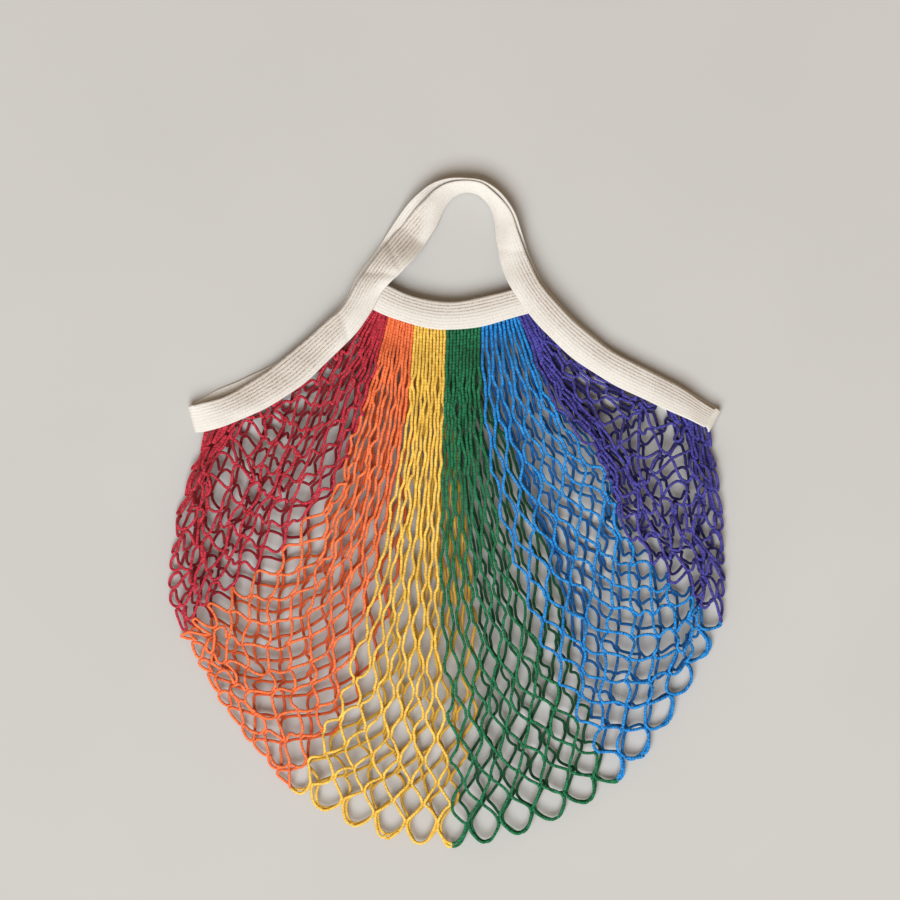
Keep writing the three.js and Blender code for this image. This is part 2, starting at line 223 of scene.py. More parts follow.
def row_places():
    """Share of the way down at which each row crosses its half column. Rows are counted off from the mouth
    at the pitch of a taut mesh, the root of the bar squared less the half column's width squared. Those
    left over are crowded in, ever closer until just short of the fold, by a power of the row's number.
    Beside a slit the rows are open at first and then evenly bunched as far as the corner."""
    share = np.linspace(0, 1, PLACES_DOWN)
    lines = leaf_plan(*np.meshgrid(strip[:, 0], share, indexing="ij"))
    step = np.diff(lines, axis=1)
    aside = square_to(np.gradient(lines, axis=0)[:, :-1], unit(step))
    pitch = np.sqrt(np.maximum(BAR**2 - length_of(aside) ** 2, (TIGHTEST_PITCH * BAR) ** 2))
    taut = np.cumsum(length_of(step) / pitch, axis=1)[..., 0]
    taut = np.concatenate([np.zeros((len(taut), 1)), taut], axis=1)
    leaf_rows = np.where(is_back, ROWS - fold_row, fold_row)
    number = np.where(is_back, ROWS - row, row)
    left_over = leaf_rows - taut[:, -1:]
    part = number / leaf_rows
    least = CROWDING * np.maximum(left_over, 0) / leaf_rows / MOST_CROWDED
    start = np.minimum(CROWDED_FROM, CROWDED_TO - least)
    crowd = np.clip((part - start) / (CROWDED_TO - start), 0, 1) ** CROWDING
    counted = number - left_over * np.where(left_over > 0, crowd, part)
    opened = np.maximum(SLIT_OPEN, taut[:, -1:] / leaf_rows) * number
    bunched = np.minimum(opened, taut[:, -1:] - SLIT_BUNCHED * (leaf_rows - number))
    counted += (bunched - counted) * (1 - ease(np.minimum(strip, STRIP_COUNT - strip), *BESIDE_SLIT))
    return np.stack([np.interp(own, rows, share) for own, rows in zip(counted, taut)])


down = row_places()


def settled(plan, hold, passes, push):
    """Evens out the bars: in every pass the two knots of a bar that is longer than its cord move together
    by half of what is too much, and those of a short bar move apart by a small share of what is missing,
    less where the knots are held."""
    for _ in range(passes):
        move = np.zeros_like(plan)
        for here, there in ((slice(None, -1), slice(1, None)), (slice(1, None), slice(None, -1))):
            gap = plan[there, 1:] - plan[here, :-1]
            change = 1 - BAR / np.maximum(length_of(gap), SHORTEST_SPAN)
            pushed = push * np.maximum(change, -MOST_PUSHED)
            change = np.where(change > 0, change, pushed) * is_knot[here, :-1, None]
            move[here, :-1] += change * gap / 2
            move[there, 1:] -= change * gap / 2
        plan = plan + SHARE_A_PASS * (1 - hold[..., None]) * move
    return plan


def filled(plan):
    """The points between the knots put midway between the knots on their two sides."""
    left = plan[np.abs(half_column - 1), row]
    right = plan[HALF_COLUMNS - np.abs(HALF_COLUMNS - half_column - 1), row]
    return np.where(is_knot[..., None], plan, (left + right) / 2)


def under_front(plan):
    """Place of the back leaf where it clings to the front one: the front's points at the same row from the
    mouth, half a column further right, so that its knots lie in the front's meshes, and two whole columns
    more in the middle of the bag. Beside the slits it is one row off instead. Shifts are divided by the
    cling, which is the share of them that is kept. The leaf comes even with the front towards the fold, and
    lies a little aside in a direction that turns slowly over it."""
    beside_slits = 1 - ease(strip, *LEFT_SLIT_ENDS) + ease(strip, *RIGHT_SLIT_STARTS)
    shift = (1 - beside_slits) * (1 - ease(down, *EVEN_WITH_FRONT))
    in_middle = between(strip, MIDDLE_STARTS, MIDDLE_ENDS)
    shift += MIDDLE_SHIFT * in_middle * between(down, MIDDLE_SHIFTS_FROM, MIDDLE_SHIFTS_TO)
    column = np.clip(half_column + shift / CLING, 0, HALF_COLUMNS - JUST_INSIDE)
    number = np.clip(ROWS - row + beside_slits / CLING, 0, np.floor(fold_row) - JUST_INSIDE)
    left, above = column.astype(int), number.astype(int)
    to_right, below = (column - left)[..., None], (number - above)[..., None]
    front = filled(plan)
    upper = front[left, above] * (1 - to_right) + front[left + 1, above] * to_right
    lower = front[left, above + 1] * (1 - to_right) + front[left + 1, above + 1] * to_right
    under = upper * (1 - below) + lower * below
    turn = 3 * down + 1.5 * strip
    aside = BACK_LEAF_ASIDE * ease(down, *ASIDE_FROM)[..., None]
    return under + aside * np.stack([np.cos(turn), np.sin(turn)], axis=-1)


def knot_plan():
    """Knots from above: the leaf's lines, evened out, the back leaf swayed by slow sines, the ridges drawn
    together by a bell curve, every knot a little astray and moved by crossed waves of the crumple, the back
    leaf drawn under the front one, and the long bars drawn in."""
    is_edge = (half_column == 0) | (half_column == HALF_COLUMNS) | (row == 0) | (row == ROWS)
    hold = np.where(is_edge | (np.abs(row - fold_row) < 1), 1.0, 0.0)
    plan = settled(leaf_plan(strip, down), hold, FIRST_PASSES, PUSH)
    kept = 1 - SWAY_LOST * ease(down, *SWAY_FADES)
    middle = np.sin(np.pi / 2 * np.minimum(2 * down, 1)) * kept * is_back
    plan[..., 0] += middle * BACK_LEAF_SWAY * np.sin(7 * down + 2 * strip)
    plan[..., 1] += middle * BACK_LEAF_SWAY * np.cos(9 * down + 3 * strip)
    for start, end, _, _, reach, share in RIDGES:
        away, present = from_ridge(plan, start, end)
        near = present * bell(length_of(away), reach)
        pull = share * np.where(is_back, BACK_LEAF_PULL, 1.0) * (1 - hold)
        pull = pull * chance.uniform(*UNEVEN_PULL, size=hold.shape)
        plan -= near * away * pull[..., None]
    loose = ease(down, *LOOSE_FROM) * (1 - hold)
    astray = (STRAY + CRUMPLE * outer) * loose
    plan += astray[..., None] * np.clip(chance.normal(size=plan.shape), -2, 2)
    across_waves, along_waves = plan[..., 0] / WAVE_ACROSS, plan[..., 1] / WAVE_ALONG
    wave = CRUMPLE_WAVE * outer * loose * np.where(is_back, BACK_LEAF_WAVE, 1.0)
    plan[..., 0] += wave * np.sin(along_waves + 1.3 * np.sin(0.6 * across_waves) + 2.0 * is_back)
    plan[..., 1] += wave * np.sin(across_waves + 1.7 * np.sin(0.5 * along_waves) + 1.0 * is_back)
    held_under = CLING * ease(down, *CLINGS_FROM) * (1 - hold) * is_back
    plan += held_under[..., None] * (under_front(plan) - plan)
    return filled(settled(plan, hold, LAST_PASSES, 0.0))


# Height of the net: it climbs over the back tape along the slits and over the back band at the mouth,
# and elsewhere lies on the floor, the front leaf on the back one. Slack cord lofts both leaves.
CORD_RADIUS = 1.14 * MM
LEAF_STEP = 5.0 * MM
PRESSED_SHARE = 0.66
NET_AT_SIDE = 2.45 * MM
NET_AT_MOUTH = 4.55 * MM
NET_OFF_FLOOR = 0.1 * MM
COVERED = 22 * MM
OFF_TAPE = 100 * MM
OFF_BAND = 150 * MM
FOLD_START = 0.92
# Distance from the tapes over which the net comes free of them, and rows so close that they pile up
CLEAR_OF_TAPE = (16 * MM, 40 * MM)
BUNCHED_ROWS = (0.2 * BAR, 0.8 * BAR)
UNEVEN_RIDGE = (0.3, 1)
CRUMPLE_HEIGHT = 1.5 * MM
BUNCHED_HEIGHT = 3.5 * MM
# Loft: its height, the share lost at the fold and the share that is chance, and the lengths of its waves
# over two pi
LOFT = 11.0 * MM
LOFT_LOST = 0.7
LOFT_BY_CHANCE = 0.4
SWELL_ACROSS = 19 * MM
SWELL_BEND = 31 * MM
SWELL_ALONG = 23 * MM
EDGE_POINTS = 40


def nearest(plan, line):
    """Distance from each point to the nearest of a line's points."""
    return length_of(plan[..., None, :] - line)[..., 0].min(axis=-1)


edge_share = np.linspace(0, 1, EDGE_POINTS)
slit_lines = [leaf_plan(np.full(EDGE_POINTS, side), edge_share) for side in (0.0, float(STRIP_COUNT))]
mouth_line = leaf_plan(edge_share * STRIP_COUNT, np.zeros(EDGE_POINTS))


def net_height(plan):
    """Middle height of the net: what lies under it, half a cord, a loft of two crossed sines that both
    leaves share, and for the front leaf the back leaf and the ridges. Both leaves close to one height at
    the fold."""
    at_side = nearest(plan, np.concatenate(slit_lines))
    at_mouth = nearest(plan, mouth_line)
    over_tape = NET_AT_SIDE * (1 - ease(at_side, COVERED, OFF_TAPE))
    over_band = NET_AT_MOUTH * (1 - ease(at_mouth, COVERED, OFF_BAND))
    bottom = np.maximum(np.maximum(over_tape, over_band), NET_OFF_FLOOR)
    rises = np.zeros(half_column.shape)
    for start, end, rise, half, _, _ in RIDGES:
        away, present = from_ridge(plan, start, end)
        near = present * bell(length_of(away), half)
        rises = np.maximum(rises, rise * MM * near[..., 0])
    rises = rises * chance.uniform(*UNEVEN_RIDGE, size=rises.shape)
    clear = ease(np.minimum(at_side, at_mouth), *CLEAR_OF_TAPE)
    bunched = 1 - ease(length_of(np.gradient(plan, axis=1))[..., 0], *BUNCHED_ROWS)
    pile = (CRUMPLE_HEIGHT * outer + BUNCHED_HEIGHT * bunched) * clear
    rises = rises + pile * chance.uniform(0, 1, size=rises.shape)
    closing = ease(down, FOLD_START, 1)
    leaf_step = LEAF_STEP * (PRESSED_SHARE + (1 - PRESSED_SHARE) * clear)
    front = (leaf_step + rises) * (1 - closing) * ~is_back
    shared = chance.uniform(0, 1, size=rises.shape)[half_column, np.minimum(row, ROWS - row)]
    x, y = np.moveaxis(plan, -1, 0)
    across_swell = np.sin(x / SWELL_ACROSS + np.sin(y / SWELL_BEND))
    swell = 0.5 + 0.25 * across_swell + 0.25 * np.sin(y / SWELL_ALONG)
    loft = LOFT * clear * (1 - LOFT_LOST * closing)
    loft = loft * ((1 - LOFT_BY_CHANCE) * swell + LOFT_BY_CHANCE * shared)
    return bottom + CORD_RADIUS + closing * LEAF_STEP / 2 + front + loft


plan = knot_plan()
knots = np.concatenate([plan, net_height(plan)[..., None]], axis=-1)

# Cords of the net: sixty chain-knitted cotton cords, ten of each colour, that zigzag side by side from
# the front mouth to the back mouth. Each is joined to the cord on its left and on its right by turns, and
# slack meshes leave the bars between the joins curled.
BAR_POINTS = 12
UP = np.array([0.0, 0.0, 1.0])
# Knots: columns' widths from closed to open meshes, half lengths, how far the cords lie from the middle in
# a closed and in an open mesh, in cord radii, and the most of it as a share of the column's width. Then a
# knot's turn in radians, at rest, for all slack and at most, and the columns so narrow that their cords lie
# higher and lower by turns
OPEN_MESH = (10 * MM, 24 * MM)
SHORT_KNOT_HALF = 1.0 * MM
LONG_KNOT_HALF = 2.8 * MM
CLOSED_KNOT_OFFSET = 1.25
OPEN_KNOT_OFFSET = 0.95
MOST_OFFSET = 0.24
TURN_AT_REST = 0.08
TURN_BY_SLACK = 0.9
MOST_TURN = 1.2
CROWDED_COLUMN = (3 * CORD_RADIUS, 6 * CORD_RADIUS)
CROWDED_STEP = 0.7 * MM

# Loops round the fold: how far a cord hooks past the middle there, dips back and steps up and down, how many
# rows from the fold a bar still belongs to a loop, its slack and its chance step along the net, and the
# strips between which, and from which on, loops are drawn flat
FOLD_HOOK = 1.2 * MM
FOLD_DIP = 0.2 * FOLD_HOOK
FOLD_HALF_STEP = 1.1 * MM
LOOP_ROWS = 0.8
LOOP_SLACK = 1.06
LOOP_STEP = 1.8 * MM
FLAT_STARTS = (0.9, 1.2)
FLAT_ENDS = (1.8, 2.0)
FLAT_AGAIN = (4.2, 4.5)
FLAT_AGAIN_SHARE = 0.8
FLATTENING = 0.6

# Slack bars: the most slack, the share of it that curls in the middle and beside the slits, how much slack
# there is before they curl, and the arches, bows and waver of the rest
SLACKEST = 0.55
CURL = 0.15
OUTER_CURL = 0.3
CURLS_FROM = (0.1, 0.6)
FRONT_ARCH = 3.0 * MM
BACK_ARCH = 1.2 * MM
MOST_LEAN = 1.2
BOW = 0.04
MOST_BOW = 3.2 * MM
MOST_CHANCE_BOW = 1.8
WAVER = 0.18 * MM
REACHES = BAR * np.array([0.28, 0.4, 0.6, 0.85, 1.1, 1.4, 1.8, 2.3, 2.9, 3.6])

cord, cord_row = np.meshgrid(np.arange(HALF_COLUMNS), np.arange(ROWS + 1), indexing="ij")
cord_half_column = cord + (cord + cord_row) % 2
at_knot = (cord_half_column, cord_row)
side_of_knot = np.where(cord_half_column == cord, 1, -1)[..., None]


def beside(values, columns, rows):
    """The values so many half columns and rows on, held at the edges of each leaf."""
    first = np.where(is_back, np.ceil(fold_row), 0).astype(int)
    last = np.where(is_back, ROWS, np.floor(fold_row)).astype(int)
    return values[np.clip(half_column + columns, 0, HALF_COLUMNS), np.clip(row + rows, first, last)]


def slack_of_knots():
    """Share of its cord that a bar has to spare, as the mean over the bars that meet at each knot."""
    spans = length_of(np.diff(knots[at_knot], axis=1))[..., 0]
    spare = np.clip(1 - spans / BAR, 0, SLACKEST)
    total = np.zeros(half_column.shape)
    count = np.zeros(half_column.shape)
    for ends in (slice(None, -1), slice(1, None)):
        np.add.at(total, (cord_half_column[:, ends], cord_row[:, ends]), spare)
        np.add.at(count, (cord_half_column[:, ends], cord_row[:, ends]), 1)
    return total / np.maximum(count, 1)


def knot_ways(slack):
    """Direction in which both cords run through each knot: down the net, turned by a chance angle that
    grows with the slack."""
    ways = unit(sum(beside(knots, side, 1) - beside(knots, side, -1) for side in (-1, 1)))
    angle = chance.normal(size=half_column.shape) * (TURN_AT_REST + TURN_BY_SLACK * slack)
    angle = np.clip(angle, -MOST_TURN, MOST_TURN) * (row > 1) * (row < ROWS - 1)
    cosine, sine = np.cos(angle), np.sin(angle)
    x, y, z = np.moveaxis(ways, -1, 0)
    return np.stack([x * cosine - y * sine, x * sine + y * cosine, z], axis=-1)


def hermite(start, end, start_way, end_way, reach, share):
    """Cubic from start to end that leaves and arrives along the two ways, bulging more the longer the
    reach. share runs from 0 to 1."""
    s = share[:, None]
    from_start = start * (2 * s**3 - 3 * s**2 + 1) + start_way * reach * (s**3 - 2 * s**2 + s)
    return from_start + end * (3 * s**2 - 2 * s**3) + end_way * reach * (s**3 - s**2)


def reach_for(start, end, start_way, end_way, wanted):
    """The reach that gives each bar its wanted length, read off between a few tried ones."""
    share = np.linspace(0, 1, BAR_POINTS)
    tried = [hermite(start, end, start_way, end_way, reach, share) for reach in REACHES]
    lengths = np.stack([length_of(np.diff(bar, axis=-2)).sum(axis=(-2, -1)) for bar in tried], axis=-1)
    above = np.argmax(lengths >= wanted[..., None], axis=-1)
    above = np.where(lengths[..., -1] < wanted, len(REACHES) - 1, above)
    below = np.maximum(above - 1, 0)
    low = np.take_along_axis(lengths, below[..., None], -1)[..., 0]
    high = np.take_along_axis(lengths, above[..., None], -1)[..., 0]
    part = np.clip((wanted - low) / np.maximum(high - low, 1e-9), 0, 1)
    return REACHES[below] + part * (REACHES[above] - REACHES[below])


def cord_paths():
    """Path of every cord: a point beside the other cord at each knot, then a bar to the next knot. At the
    fold a cord turns back under itself, in loops that are drawn flat in some strips. Where a bar has cord
    to spare, some of it curls and the rest bulges as an arch that leans by chance, and rises by its span
    times the root of three eighths of the spare share. Crowded cords lie higher and lower by turns."""
    slack = slack_of_knots()
    ways = knot_ways(slack)
    column_width = length_of(beside(knots, 2, 0) - beside(knots, -2, 0)) / 2
    open_mesh = ease(column_width, *OPEN_MESH)
    radii = CLOSED_KNOT_OFFSET + (OPEN_KNOT_OFFSET - CLOSED_KNOT_OFFSET) * open_mesh
    offset = np.minimum(radii * CORD_RADIUS, MOST_OFFSET * column_width)
    turned = np.where(is_back, -1, 1)
    sideways = unit(np.stack([-ways[..., 1] * turned, ways[..., 0] * turned, 0 * turned], axis=-1))
    at = knots[at_knot]
    middle = at + side_of_knot * (offset * sideways)[at_knot]
    crowded = 1 - ease(column_width[at_knot][..., 0], *CROWDED_COLUMN)
    middle[..., 2] += np.where(cord % 2 == 0, 1, -1) * crowded * CROWDED_STEP
    way = ways[at_knot]
    knot_half = (LONG_KNOT_HALF + (SHORT_KNOT_HALF - LONG_KNOT_HALF) * open_mesh)[at_knot]

    is_turn = (cord_row == fold_row[at_knot])[..., None]
    outline = unit(beside(knots, 2, 0) - beside(knots, -2, 0))[at_knot] * side_of_knot
    down_step = LOOP_STEP * chance.uniform(-1, 1, size=half_column.shape)[at_knot][..., None] * way
    step = FOLD_HALF_STEP * UP + down_step
    enter = np.where(is_turn, at + FOLD_HOOK * outline + step, middle - knot_half * way)
    leave = np.where(is_turn, at + FOLD_HOOK * outline - step, middle + knot_half * way)
    middle = np.where(is_turn, at - FOLD_DIP * outline, middle)
    way_in = np.where(is_turn, -outline, way)
    way_out = np.where(is_turn, outline, way)

    start, end = leave[:, :-1, None], enter[:, 1:, None]
    start_way, end_way = way_out[:, :-1, None], way_in[:, 1:, None]
    span = length_of(end - start)[..., 0, 0]
    knots_taken = (knot_half[:, :-1] + knot_half[:, 1:])[..., 0]
    full = np.minimum(BAR - knots_taken, span / (1 - SLACKEST))
    is_round = np.abs(cord_row[:, :-1] + 0.5 - fold_row[at_knot][:, :-1]) < LOOP_ROWS
    most_curl = CURL + (OUTER_CURL - CURL) * outer[at_knot][:, :-1]
    own_strip = strip[at_knot][:, :-1]
    drawn_flat = between(own_strip, FLAT_STARTS, FLAT_ENDS)
    drawn_flat += FLAT_AGAIN_SHARE * ease(own_strip, *FLAT_AGAIN)
    bar_curl = most_curl * ease(full / span - 1, *CURLS_FROM)
    curl = np.where(is_round, 1 - FLATTENING * drawn_flat, bar_curl)
    least = np.where(is_round, LOOP_SLACK, 1.0) * span
    wanted = np.maximum(span + curl * np.maximum(full - span, 0), least)
    reach = reach_for(start, end, start_way, end_way, wanted)[..., None, None]
    share = np.linspace(0, 1, BAR_POINTS)
    bars = hermite(start, end, start_way, end_way, reach, share)

    edges = np.concatenate([*slit_lines, mouth_line])
    free = ease(nearest(at[:, :-1, :2], edges), *CLEAR_OF_TAPE) * ~is_round
    rise = span * np.sqrt(3 / 8 * np.maximum(full / wanted - 1, 0))
    highest = np.where(is_back[at_knot][:, :-1], BACK_ARCH, FRONT_ARCH)
    lean = chance.uniform(-MOST_LEAN, MOST_LEAN, size=rise.shape)
    arch = free * np.minimum(rise * np.cos(lean), highest)
    bump = np.sin(np.pi * share)
    bars[..., 2] += arch[..., None] * bump**2
    across = unit(np.cross(end - start, UP))
    bow = BOW * span * np.clip(chance.normal(size=span.shape), -MOST_CHANCE_BOW, MOST_CHANCE_BOW)
    bow = (bow + np.clip(rise * np.sin(lean), -MOST_BOW, MOST_BOW)) * free
    bars += bow[..., None, None] * bump[:, None] * across
    phase = chance.uniform(0, 2 * np.pi, size=(2, *rise.shape, 1))
    ripple = np.sin(3 * np.pi * share + phase) * bump
    bars[..., 0] += WAVER * ripple[0]
    bars[..., 1] += WAVER * ripple[1]
    bars[..., 2] = np.maximum(bars[..., 2], NET_OFF_FLOOR + CORD_RADIUS)

    blocks = np.concatenate([middle[:, :-1, None], bars], axis=2)
    return np.concatenate([blocks.reshape(HALF_COLUMNS, -1, 3), middle[:, -1:]], axis=1)


paths = cord_paths()

# Strips of the net: each colour's ten cords are one strip, dyed before knitting. The cord is a soft
# matt chain of cotton loops, a little fuzzy and uneven in its dye, with painted shade and painted highlight
# on it.
CORD_SIDES = 8
STITCH = 2.3 * MM
# Painted shade on the cords: how far a point at a cord's side counts as facing into the bag, how fast that
# grows as it turns inwards, and how dark the painted shade is there. It darkens every cord's flanks and the
# side that faces into the bag
INSIDE_AT_SIDE = 0.65
INSIDE_BY_TURN = 0.9
INSIDE_SHADE = 0.75
# Painted shade between the stitches, as a share of a power of the colour. Painted highlight on top of them:
# how light the colour may get, the most that it is lightened, and the red, green and blue of the whitish
# sheen that loose fibres add. Fleck noise mixes the two as well, as uneven dye
SHADE_SHARE = 0.6
SHADE_POWER = 1.4
PALEST = 0.93
MOST_PALED = 1.7
FUZZ_SHEEN = (0.018, 0.035, 0.035)
# Colours of the strips from the left, in the 0 to 255 steps of a screen
STRIPS = (
    ("red", (170, 20, 43)),
    ("orange", (251, 126, 64)),
    ("yellow", (251, 204, 83)),
    ("green", (4, 97, 54)),
    ("blue", (14, 118, 183)),
    ("violet", (60, 48, 130)),
)


def linear(red, green, blue):
    """A colour given in the 0 to 255 steps of a screen, as the linear light that shaders use: a straight
    line for the darkest steps, and above them a power of 2.4."""
    steps = np.array([red, green, blue]) / 255
    light = np.where(steps <= 0.04045, steps / 12.92, ((steps + 0.055) / 1.055) ** 2.4)
    return (*light.tolist(), 1.0)


def new_piece(name, points, quads, uv, material):
    """Object with a smooth mesh of quads from whole arrays, and a UV pair for each corner of each quad."""
    mesh = bpy.data.meshes.new(name)
    mesh.vertices.add(len(points))
    mesh.vertices.foreach_set("co", points.ravel())
    mesh.loops.add(quads.size)
    mesh.loops.foreach_set("vertex_index", quads.ravel())
    mesh.polygons.add(len(quads))
    mesh.polygons.foreach_set("loop_start", np.arange(0, quads.size, 4))
    mesh.polygons.foreach_set("use_smooth", np.ones(len(quads), dtype=bool))
    layer = mesh.uv_layers.new(name="Cloth")
    layer.data.foreach_set("uv", uv.ravel())
    mesh.update(calc_edges=True)
    mesh.materials.append(material)
    piece = bpy.data.objects.new(name, mesh)
    bpy.context.collection.objects.link(piece)
    return piece


def carried_directions(path):
    """Direction ahead along each path, and a direction square to it that turns as little as it can:
    each one is the last one less its part along the new direction ahead."""
    ahead = unit(np.gradient(path, axis=1))
    upward = np.empty_like(ahead)
    last = np.broadcast_to(UP, ahead[:, 0].shape)
    for k in range(path.shape[1]):
        last = unit(square_to(last, ahead[:, k]))
        upward[:, k] = last
    return ahead, upward


def cord_mesh(path, inward):
    """Round tubes carried along the paths, as points, quads and UV: once round in u, and in v the length
    along the cord counted in stitches. Three quads close each end. The last array tells how far each point
    counts as facing the inside of the bag, which lies upwards where inward is 1 and downwards where it is
    -1.
    The cord material paints shade by it."""
    ahead, upward = carried_directions(path)
    aside = np.cross(ahead, upward)
    around = 2 * np.pi * np.arange(CORD_SIDES) / CORD_SIDES
    ring = np.cos(around)[:, None] * upward[..., None, :] + np.sin(around)[:, None] * aside[..., None, :]
    points = path[..., None, :] + CORD_RADIUS * ring
    facing = INSIDE_AT_SIDE + INSIDE_BY_TURN * inward[..., None] * ring[..., 2]
    inside = np.clip(facing, 0, 1) * np.abs(inward)[..., None]
    count, steps, sides = points.shape[:3]
    number = np.arange(count * steps * sides).reshape(count, steps, sides)
    here, there = number[:, :-1], number[:, 1:]
    quads = np.stack([here, np.roll(here, -1, 2), np.roll(there, -1, 2), there], axis=-1)
    run = np.cumsum(length_of(np.diff(path, axis=1))[..., 0], axis=1) / STITCH
    run = np.concatenate([np.zeros((count, 1)), run], axis=1)
    u = np.broadcast_to(np.arange(sides) / sides, here.shape)
    v = np.broadcast_to(run[:, :-1, None], here.shape)
    v_next = np.broadcast_to(run[:, 1:, None], here.shape)
    u_next = u + 1 / sides
    uv = np.stack([u, v, u_next, v, u_next, v_next, u, v_next], axis=-1)
    cap = np.array([[0, 7, 2, 1], [7, 6, 3, 2], [6, 5, 4, 3]])
    ends = np.concatenate([number[:, 0][:, cap], number[:, -1][:, cap[:, ::-1]]])
    quads = np.concatenate([quads.reshape(-1, 4), ends.reshape(-1, 4)])
    uv = np.concatenate([uv.reshape(-1, 8), np.zeros((ends.size // 4, 8))])
    return points.reshape(-1, 3), quads, uv, inside.ravel()


def mark(piece, name, values):
    """Stores one value for each point as an attribute that a material reads."""
    layer = piece.data.attributes.new(name, "FLOAT", "POINT")
    layer.data.foreach_set("value", values)


class Shade:
    """A socket of a material's node tree. A sum on it adds a Math node, and add puts in any other node."""

    def __init__(self, tree, socket=None):
        self.tree = tree
        self.socket = socket

    def add(self, kind, settings, sockets, output=0):
        """A node of a kind: first its settings, then a value or a link for each socket named."""
        node = self.tree.nodes.new(kind)
        for name, value in settings.items():
            setattr(node, name, value)
        for name, value in sockets.items():
            if isinstance(value, Shade):
                self.tree.links.new(value.socket, node.inputs[name])
            else:
                node.inputs[name].default_value = value
        return Shade(self.tree, node.outputs[output])

    def math(self, operation, first, second=0.0):
        """A Math node's operation on two values or links."""
        return self.add("ShaderNodeMath", {"operation": operation}, {0: first, 1: second})

    def __add__(self, other):
        return self.math("ADD", self, other)

    def __sub__(self, other):
        return self.math("SUBTRACT", self, other)

    def __rsub__(self, other):
        return self.math("SUBTRACT", other, self)

    def __mul__(self, other):
        return self.math("MULTIPLY", self, other)

    def __pow__(self, other):
        return self.math("POWER", self, other)

    def __abs__(self):
        return self.math("ABSOLUTE", self)

    __radd__ = __add__
    __rmul__ = __mul__

    def fraction(self):
        """What is left of this value after its whole number."""
        return self.math("FRACT", self)

    def mixed(self, low, high):
        """Colour that goes from low to high with this value."""
        settings = {"data_type": "RGBA", "clamp_factor": True}
        return self.add("ShaderNodeMix", settings, {"Factor": self, 6: low, 7: high}, output=2)

    def noise(self, vector, scale, detail):
        """Cloudy noise about one half, so many clouds to a metre."""
        sockets = {"Vector": vector, "Scale": scale, "Detail": detail}
        return self.add("ShaderNodeTexNoise", {}, sockets)


def new_material(name, colour_for_viewport):
    """Material with an empty node tree of one Principled shader, and the handle that adds nodes to it."""
    material = bpy.data.materials.new(name)
    material.diffuse_color = colour_for_viewport
    material.use_nodes = True
    shader = material.node_tree.nodes["Principled BSDF"]
    return material, shader, Shade(material.node_tree)


def tinted(colour, share):
    """A colour with its light multiplied by a share."""
    return (*(share * c for c in colour[:3]), 1.0)


def cloth_places(shade):
    """The place on the object, and u and v of the cloth's own UV."""
    place = shade.add("ShaderNodeTexCoord", {}, {}, output="Object")
    uv = shade.add("ShaderNodeTexCoord", {}, {}, output="UV")
    u, v = (shade.add("ShaderNodeSeparateXYZ", {}, {"Vector": uv}, output=axis) for axis in "XY")
    return place, u, v


def dress(shader, values, base, bump=None):
    """Gives a Principled shader its even values, its colour and, where there is one, its bump."""
    for name, value in values.items():
        shader.inputs[name].default_value = value
    base.tree.links.new(base.socket, shader.inputs["Base Color"])
    if bump:
        base.tree.links.new(bump.socket, shader.inputs["Normal"])


def dyed_cord(name, colour):
    """Chain-knitted cotton: slanted stitches in two columns round the cord, from its UV, with painted shade
    between them and a painted highlight with a whitish sheen on them, flecks of uneven dye, fine fibre and a
    dye that is uneven over a hand's breadth. The flanks of the cord and the side that faces into the bag,
    where light comes only through the meshes, get painted shade."""
    material, shader, shade = new_material(name, colour)
    place, u, v = cloth_places(shade)
    leg = abs((u * 2).fraction() * 2 - 1)
    phase = (v + leg * 0.5).fraction() * 2 - 1
    stitch = 1 - abs(phase) ** 2.5
    fibre = shade.noise(place, 2600, 2)
    fleck = shade.noise(place, 420, 3)
    patch = shade.noise(place, 34, 2)
    height = stitch * 0.8 + fibre * 0.35
    depth = stitch * 0.6 + fleck * 2.4 - 1.05
    paler = min(MOST_PALED, PALEST / max(colour[:3]))
    # deep is painted shade between the stitches and pale a painted highlight with a whitish sheen on their
    # tops; the fleck noise in depth also mixes them as uneven dye
    deep = (*(SHADE_SHARE * c**SHADE_POWER for c in colour[:3]), 1.0)
    pale = (*(paler * c + fuzz for c, fuzz in zip(colour, FUZZ_SHEEN)), 1.0)
    body = depth.mixed(deep, pale)
    even = (patch * 0.4).mixed(body, tinted(colour, 0.8))
    inside = shade.add("ShaderNodeAttribute", {"attribute_name": "inside"}, {}, output="Fac")
    # Painted shade on the cords' flanks and on the side that faces into the bag
    base = (inside * INSIDE_SHADE).mixed(even, tinted(deep, 0.8))
    bump = shade.add("ShaderNodeBump", {}, {"Strength": 0.6, "Distance": 0.35 * MM, "Height": height})
    values = {"Roughness": 0.88, "Sheen Weight": 0.08, "Sheen Roughness": 0.5, "Specular IOR Level": 0.25}
    dress(shader, values, base, bump)
    return material


rows_from_fold = np.arange(paths.shape[1]) / (BAR_POINTS + 1) - fold_row[:-1, :1]
inward = np.clip(rows_from_fold / 2, -1, 1)
for number, (colour_name, screen_colour) in enumerate(STRIPS):
    own = slice(number * CORDS_PER_STRIP, (number + 1) * CORDS_PER_STRIP)
    dye = dyed_cord(f"{colour_name}_cotton_cord", linear(*screen_colour))
    *cloth, inside = cord_mesh(paths[own], inward[own])
    net = new_piece(f"{colour_name}_net_strip", *cloth, dye)
    # How far each point gets the painted shade of the cord's flanks and inner side
    mark(net, "inside", inside)
    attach(net, "root")
    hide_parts(f"net_{colour_name}")

# Mouth bands: two short lengths of undyed ribbed cotton tape, one on the front and one on the back
# mouth edge, which hold the gathered net. They sag between the handle's feet.
TAPE_WIDTH = 21 * MM
TAPE_THICK = 1.8 * MM
RIBS = 9
RIB_POINTS = 7
RIB_GROOVE = 0.18 * MM
